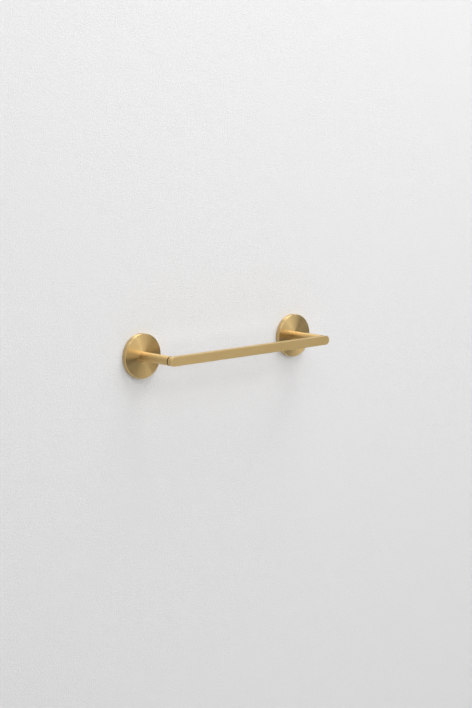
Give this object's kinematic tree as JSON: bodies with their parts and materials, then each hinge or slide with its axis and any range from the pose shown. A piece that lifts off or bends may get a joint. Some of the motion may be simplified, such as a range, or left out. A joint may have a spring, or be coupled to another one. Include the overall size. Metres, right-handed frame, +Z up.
{
  "type": "towel rack",
  "caption": "Wall-mounted towel rack in satin brass: a flat round-ended bar on round posts with round wall rosettes, fixed with hidden screws.",
  "frame": {"origin": "on the wall's surface, midway between the two posts and level with their axes", "axes": "+X along the bar, to the right of a person facing the wall; -Y out of the wall to that person, +Y into the wall; +Z up"},
  "size_m": [0.349, 0.1027, 0.062],
  "materials": {
    "satin_brass": "satin, brushed along the bar and turned on the rosettes",
    "stainless_steel": "plain machined",
    "zinc_plated_steel": "bright zinc plated",
    "grey_nylon": "moulded, matte"
  },
  "bodies": {
    "root": {"bar": "satin_brass", "left_rosette": "satin_brass", "left_post": "satin_brass", "left_spacer_ring": "satin_brass", "left_bar_stud": "stainless_steel", "left_post_screw": "stainless_steel", "left_grub_screw": "stainless_steel", "left_wall_bracket": "zinc_plated_steel", "left_wall_screw_inner": "zinc_plated_steel", "left_wall_plug_inner": "grey_nylon", "left_wall_screw_outer": "zinc_plated_steel", "left_wall_plug_outer": "grey_nylon", "right_rosette": "satin_brass", "right_post": "satin_brass", "right_spacer_ring": "satin_brass", "right_bar_stud": "stainless_steel", "right_post_screw": "stainless_steel", "right_grub_screw": "stainless_steel", "right_wall_bracket": "zinc_plated_steel", "right_wall_screw_inner": "zinc_plated_steel", "right_wall_plug_inner": "grey_nylon", "right_wall_screw_outer": "zinc_plated_steel", "right_wall_plug_outer": "grey_nylon"}
  },
  "joints": []
}
